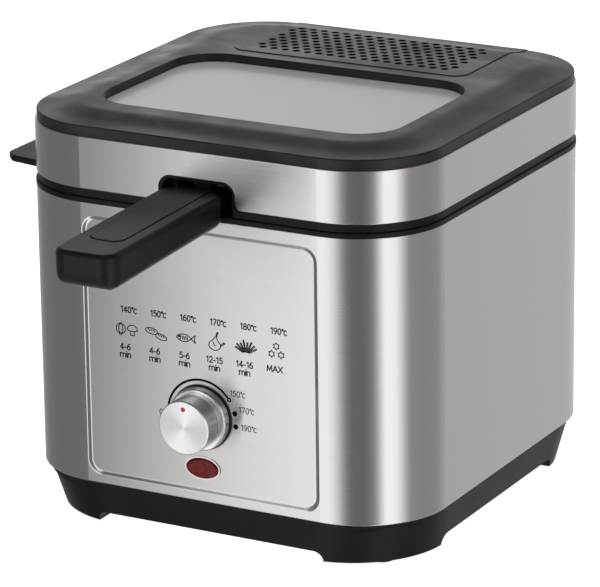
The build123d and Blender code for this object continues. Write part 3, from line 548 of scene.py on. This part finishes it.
def bottom_wires(bm):
    half_x, half_y, corner = [size - BOTTOM_ROUND for size in basket_section(SHELL_LOW.z)]
    z = SHELL_LOW.z + WIRE_RADIUS + WEAVE
    for turned, long, wide in ((False, half_x, half_y), (True, half_y, half_x)):
        count = int(wide / WIRE_PITCH)
        for line in range(-count, count + 1):
            bottom_wire(bm, line, turned, long, wide, corner, z)
    total, at = rounded_loop(half_x, half_y, corner)
    points = [at(total * k / EDGE_STEPS)[0] + Vector((0, 0, z)) for k in range(EDGE_STEPS)]
    tube(bm, points, 2 * WIRE_RADIUS, closed=True)


def make_basket():
    bm = bmesh.new()
    wall_wires(bm)
    bottom_wires(bm)
    mesh = mesh_from(bm, "basket_mesh")
    basket = piece("basket_mesh", mesh, FINISHES["basket_chrome"], "basket")
    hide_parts("basket_shell")


# ---- print on the control panel
def arc(x, z, wide, high=None, start=0, end=360, turn=0, count=20):
    """Points of an elliptical arc about x and z, in degrees anticlockwise from +X."""
    high = wide if high is None else high
    points = []
    for k in range(count + 1):
        a = radians(start + (end - start) * k / count)
        u, v = wide * cos(a), high * sin(a)
        t = radians(turn)
        points.append((x + u * cos(t) - v * sin(t), z + u * sin(t) + v * cos(t)))
    return points


def vegetables():
    """An onion and a mushroom."""
    onion = [arc(-3.4, 0, 2.7), arc(-3.4, 0, 1.2, 2.6, 90, 270), arc(-3.4, 0, 1.2, 2.6, -90, 90)]
    onion += [[(-3.4, 2.7), (-3.1, 3.6)], [(-3.9, -2.6), (-4.1, -3.2)], [(-3.2, -2.7), (-3.0, -3.2)]]
    cap = arc(3.4, 0.2, 3.0, 2.4, 0, 180) + [(0.4, 0.2)] + arc(3.4, 0.2, 3.0, 0.9, 180, 360)
    stem = [(2.4, -0.6), (2.2, -2.8), (4.6, -2.8), (4.4, -0.6)]
    return onion + [cap, stem]


def croquettes():
    """Two rolls with crumb marks."""
    rolls = [arc(-2.6, 1.1, 3.6, 1.6, turn=-8), arc(3.0, -1.4, 3.4, 1.5, turn=-14)]
    marks = [[(x, 1.6 - 0.1 * x), (x + 0.7, 0.7 - 0.1 * x)] for x in (-4.4, -2.9, -1.4)]
    marks += [[(x, -0.5 - 0.25 * (x - 3)), (x + 0.7, -1.4 - 0.25 * (x - 3))] for x in (1.2, 2.6, 4.0)]
    return rolls + marks


def fish():
    """A fish that faces left, with its tail, eye, gill and scales."""
    body = arc(-1.2, -3.6, 5.6, 5.6, 40, 140) + arc(-1.2, 3.6, 5.6, 5.6, 220, 320)
    tail = [(3.1, 0), (5.6, 2.1), (5.0, 0), (5.6, -2.1), (3.1, 0)]
    eye = arc(-4.0, 0.3, 0.35)
    gill = arc(-4.9, 0, 1.9, 1.9, -45, 45)
    scales = [[(x, 0.9), (x + 0.5, -0.9)] for x in (-2.2, -1.2, -0.2, 0.8)]
    return [body, tail, eye, gill] + scales


def drumstick():
    """A chicken leg with the end of a second one."""
    meat = arc(-0.6, -1.6, 3.4, 2.6, 115, 395) + [(1.0, 1.2), (0.4, 3.4), (-0.2, 3.0), (-2.0, 0.8)]
    bone = [(0.1, 3.3), (0.8, 4.7), (0.5, 5.2), (1.2, 5.5), (1.5, 4.9), (1.1, 4.6), (0.7, 3.2)]
    second = [(2.7, -0.9), (4.4, 0.0), (4.6, 0.6), (5.2, 0.2), (4.9, -0.4), (3.0, -1.5)]
    return [meat, bone, second, arc(0.4, -0.6, 1.6, 1.3, 150, 260)]


def fries():
    """A fan of chips: outlines that share a foot and lean to either side."""
    leans = (-62, -44, -27, -10, 8, 24, 42, 60)
    lengths = (4.6, 5.4, 5.0, 6.2, 5.2, 6.0, 5.2, 4.7)
    foot_pitch, foot_z, half = 0.55, -2.8, 0.3
    middle = (len(leans) - 1) / 2
    sticks = []
    for k, (lean, length) in enumerate(zip(leans, lengths)):
        foot = (k - middle) * foot_pitch
        up, over = cos(radians(lean)), sin(radians(lean))
        x, z = foot + length * over, foot_z + length * up
        c, s = half * up, half * over
        sticks.append([(foot - c, foot_z + s), (x - c, z + s), (x + c, z - s), (foot + c, foot_z - s)])
    return sticks


def stars():
    """Three stars of six points."""
    outer, inner, corners = 1.9, 1.15, 12
    shapes = []
    for x, z in ((0, 2.7), (-2.7, -1.6), (2.7, -1.6)):
        points = []
        for k in range(corners + 1):
            radius = inner if k % 2 else outer
            angle = 2 * pi * k / corners
            points.append((x + radius * sin(angle), z + radius * cos(angle)))
        shapes.append(points)
    return shapes


def print_pad(bm, outline):
    """A thin flat patch of ink on the panel, from points in millimetres."""
    depths = (PANEL_FACE, PANEL_FACE - PRINT_THICK * MM)
    back, front = [[bm.verts.new((x * MM, y, z * MM)) for x, z in outline] for y in depths]
    bm.faces.new(front)
    for k in range(len(outline)):
        n = (k + 1) % len(outline)
        bm.faces.new((back[k], back[n], front[n], front[k]))


def line_mesh(name, lines, width):
    """Printed lines as one mesh: straight strokes with round joints and ends."""
    bm = bmesh.new()
    half = width / 2
    angles = [2 * pi * k / STROKE_SIDES for k in range(STROKE_SIDES)]
    spokes = [(half * cos(angle), half * sin(angle)) for angle in angles]
    for line in lines:
        for (x0, z0), (x1, z1) in zip(line, line[1:]):
            long = hypot(x1 - x0, z1 - z0)
            if long > SHORTEST_STROKE:
                u, w = half * (z0 - z1) / long, half * (x1 - x0) / long
                print_pad(bm, [(x0 + u, z0 + w), (x0 - u, z0 - w), (x1 - u, z1 - w), (x1 + u, z1 + w)])
        for x, z in line:
            print_pad(bm, [(x + u, z + w) for u, w in spokes])
    return mesh_from(bm, name, smooth=False)


# Each printed sign's width, and its strokes in a cell one unit high. * is the degree sign.
GLYPHS = {
    "0": (0.56, [arc(0.28, 0.5, 0.26, 0.5)]),
    "1": (0.40, [[(0.06, 0.80), (0.30, 1.0), (0.30, 0.0)]]),
    "2": (0.56, [arc(0.27, 0.72, 0.25, 0.28, 165, -35) + [(0.02, 0.0), (0.55, 0.0)]]),
    "4": (0.60, [[(0.44, 0.0), (0.44, 1.0), (0.0, 0.28), (0.60, 0.28)]]),
    "5": (0.54, [[(0.50, 1.0), (0.11, 1.0), (0.07, 0.56)] + arc(0.25, 0.33, 0.28, 0.32, 115, -140)]),
    "6": (0.56, [arc(0.28, 0.31, 0.26, 0.31), arc(0.50, 0.31, 0.48, 0.69, 95, 180)]),
    "7": (0.54, [[(0.0, 1.0), (0.54, 1.0), (0.18, 0.0)]]),
    "8": (0.56, [arc(0.28, 0.76, 0.22, 0.24), arc(0.28, 0.26, 0.27, 0.26)]),
    "9": (0.56, [arc(0.28, 0.69, 0.26, 0.31), arc(0.06, 0.69, 0.48, 0.69, -85, 0)]),
    "-": (0.34, [[(0.0, 0.38), (0.34, 0.38)]]),
    "m": (1.00, [
        [(0.0, 0.0), (0.0, 0.70)],
        arc(0.25, 0.45, 0.25, 0.25, 180, 0) + [(0.50, 0.0)],
        arc(0.75, 0.45, 0.25, 0.25, 180, 0) + [(1.0, 0.0)],
    ]),
    "i": (0.06, [[(0.03, 0.0), (0.03, 0.70)], [(0.03, 0.95), (0.03, 1.0)]]),
    "n": (0.52, [[(0.0, 0.0), (0.0, 0.70)], arc(0.26, 0.45, 0.26, 0.25, 180, 0) + [(0.52, 0.0)]]),
    "M": (0.90, [[(0.0, 0.0), (0.10, 1.0), (0.45, 0.15), (0.80, 1.0), (0.90, 0.0)]]),
    "A": (0.80, [[(0.0, 0.0), (0.40, 1.0), (0.80, 0.0)], [(0.14, 0.33), (0.66, 0.33)]]),
    "X": (0.74, [[(0.0, 0.0), (0.74, 1.0)], [(0.0, 1.0), (0.74, 0.0)]]),
    "C": (0.46, [arc(0.32, 0.40, 0.30, 0.40, 50, 310)]),
    "*": (0.24, [arc(0.12, 0.86, 0.12, count=12)]),
}
GLYPH_GAP, DEGREE_GAP = 0.19, 0.08


def lettering(words, x, z, high):
    """Strokes of generic figures on the panel, centred on x and z, in millimetres."""
    gaps = [DEGREE_GAP if sign == "*" else GLYPH_GAP for sign in words[:-1]] + [0.0]
    wide = sum(GLYPHS[sign][0] for sign in words) + sum(gaps)
    start = -wide / 2
    strokes = []
    for sign, gap in zip(words, gaps):
        width, lines = GLYPHS[sign]
        for line in lines:
            strokes.append([(x + (start + u) * high, z + (w - 0.5) * high) for u, w in line])
        start += width + gap
    return strokes


def join(name, meshes):
    """Puts several meshes into one."""
    bm = bmesh.new()
    for mesh in meshes:
        bm.from_mesh(mesh)
        bpy.data.meshes.remove(mesh)
    joined = bpy.data.meshes.new(name)
    bm.to_mesh(joined)
    bm.free()
    return joined


def make_chart():
    """The table of temperatures, foods and times."""
    figures, drawings = [], []
    icons = (vegetables, croquettes, fish, drumstick, fries, stars)
    for column, (degrees, minutes, draw) in enumerate(zip(TEMPERATURES, TIMES, icons)):
        x = COLUMN_FIRST + column * COLUMN_PITCH
        rise = column * COLUMN_RISE
        figures += lettering(degrees + "*C", x, TEMPERATURE_Z + rise, FIGURE_HIGH)
        figures += lettering(minutes, x + TIME_SHIFT, TIME_Z + rise, FIGURE_HIGH)
        if minutes != "MAX":
            figures += lettering("min", x + TIME_SHIFT, MIN_Z + rise, FIGURE_HIGH)
        drawings += [[(x + ICON_SHIFT + u, ICON_Z + rise + w) for u, w in line] for line in draw()]
    meshes = [line_mesh("figures", figures, FIGURE_LINE), line_mesh("drawings", drawings, DRAWING_LINE)]
    piece("panel_print", join("panel_print", meshes), INK, "root")


def clockwise(angle):
    """A point on the dial's scale, in millimetres."""
    x, rise = ARC_RADIUS * sin(radians(angle)), ARC_RADIUS * cos(radians(angle))
    return x, KNOB_Z / MM + rise


def make_scale():
    """The thick arc, its dots and figures round the knob."""
    angles = [ARC_START + (ARC_END - ARC_START) * k / ARC_STEPS for k in range(ARC_STEPS + 1)]
    meshes = [line_mesh("arc", [[clockwise(angle) for angle in angles]], ARC_WIDE)]
    open_dot = arc(*clockwise(OPEN_DOT_ANGLE), OPEN_DOT_RADIUS)
    meshes.append(line_mesh("open_dot", [open_dot], OPEN_DOT_LINE))
    for angle in DOT_ANGLES:
        inner = arc(*clockwise(angle), DOT_RADIUS / 2, count=16)
        meshes.append(line_mesh("dot", [inner], DOT_LINE))
    marks = []
    for words, x, z in DIAL_LABELS:
        marks += lettering(words, x, z, LABEL_HIGH)
    meshes.append(line_mesh("marks", marks, LABEL_LINE))
    piece("dial_print", join("dial_print", meshes), INK, "root")


# ---- studio
def make_camera():
    data = bpy.data.cameras.new("camera")
    data.lens = CAMERA_LENS
    data.sensor_width = CAMERA_SENSOR
    data.sensor_fit = "HORIZONTAL"
    data.clip_end = CAMERA_REACH
    camera = bpy.data.objects.new("camera", data)
    camera.matrix_world = (
        Matrix.Translation(CAMERA_PLACE)
        @ Matrix.Rotation(radians(CAMERA_AZIMUTH), 4, "Z")
        @ Matrix.Rotation(radians(90 - CAMERA_ELEVATION), 4, "X")
        @ Matrix.Rotation(radians(CAMERA_ROLL), 4, "Z")
    )
    bpy.context.scene.collection.objects.link(camera)
    bpy.context.scene.camera = camera


def wall_brightness(tree, across, along):
    """The walls' brightness in a direction, from its parts across (X) and along (Y)."""
    front = add_node(tree, "Math", {0: along, 1: -1.0}, operation="MULTIPLY").outputs[0]
    angle = add_node(tree, "Math", {0: across, 1: front}, operation="ARCTAN2").outputs[0]
    share = add_node(tree, "MapRange", {0: angle, 1: -pi, 2: pi, 3: 0.0, 4: 1.0}).outputs[0]
    ramp = add_node(tree, "ValToRGB", {0: share})
    stops = ramp.color_ramp.elements
    for bearing, value in STUDIO_WALLS[1:-1]:
        stops.new(0.5 + bearing / 360)
    for stop, (bearing, value) in zip(stops, STUDIO_WALLS):
        level = value / WALL_PEAK
        stop.position = 0.5 + bearing / 360
        stop.color = (level, level, level, 1)
    return add_node(tree, "Math", {0: ramp.outputs[0], 1: WALL_PEAK}, operation="MULTIPLY").outputs[0]


def make_world():
    """A plain studio: walls that vary softly with direction under an even ceiling."""
    world = bpy.data.worlds.new("studio")
    world.use_nodes = True
    bpy.context.scene.world = world
    tree = world.node_tree
    tree.nodes.clear()
    direction = add_node(tree, "TexCoord").outputs["Generated"]
    x, y, z = add_node(tree, "SeparateXYZ", {0: direction}).outputs
    walls = wall_brightness(tree, x, y)
    rise = {0: z, 1: CEILING_START, 2: CEILING_END, 3: 0.0, 4: 1.0}
    height = add_node(tree, "MapRange", rise).outputs[0]
    room = add_node(tree, "Mix", {0: height, 2: walls, 3: CEILING}).outputs[0]
    seen = add_node(tree, "LightPath").outputs["Is Camera Ray"]
    shown = add_node(tree, "Mix", {0: seen, 2: room, 3: 1.0}).outputs[0]
    background = add_node(tree, "Background", {"Strength": shown}).outputs[0]
    add_node(tree, "OutputWorld", {"Surface": background})


def make_softbox():
    """A square light overhead that shows in no reflection."""
    data = bpy.data.lights.new("top_softbox", "AREA")
    data.shape = "RECTANGLE"
    data.size = SOFTBOX_SIDE
    data.size_y = SOFTBOX_SIDE
    data.energy = SOFTBOX_WATTS
    light = bpy.data.objects.new("top_softbox", data)
    light.location = SOFTBOX_PLACE
    light.rotation_euler = (SOFTBOX_AIM - SOFTBOX_PLACE).to_track_quat("-Z", "Y").to_euler()
    light.visible_glossy = False
    bpy.context.scene.collection.objects.link(light)


def make_floor():
    """A plain pale table top. The studio's walls, and not the floor, show in the steel."""
    bm = bmesh.new()
    bmesh.ops.create_grid(bm, x_segments=8, y_segments=8, size=FLOOR_HALF)
    mesh = mesh_from(bm, "floor")
    floor = bpy.data.objects.new("floor", mesh)
    finish = Finish("floor", roughness=0.85)
    grain = finish.noise(6, 3.0)
    finish.color(finish.remap(grain, 0, 1), (0.875, 0.875, 0.875), (0.885, 0.885, 0.885))
    finish.shader.inputs["Emission Color"].default_value = (1, 1, 1, 1)
    finish.shader.inputs["Emission Strength"].default_value = FLOOR_GLOW
    mesh.materials.append(finish.material)
    floor.location.z = -FLOOR_DROP
    floor.visible_glossy = False
    bpy.context.scene.collection.objects.link(floor)


def make_studio():
    make_camera()
    make_world()
    make_floor()
    make_softbox()
    bpy.context.scene.view_settings.view_transform = "Standard"
    bpy.context.scene.view_settings.look = "None"


dress_nodes()
make_basket()
make_chart()
make_scale()
make_studio()
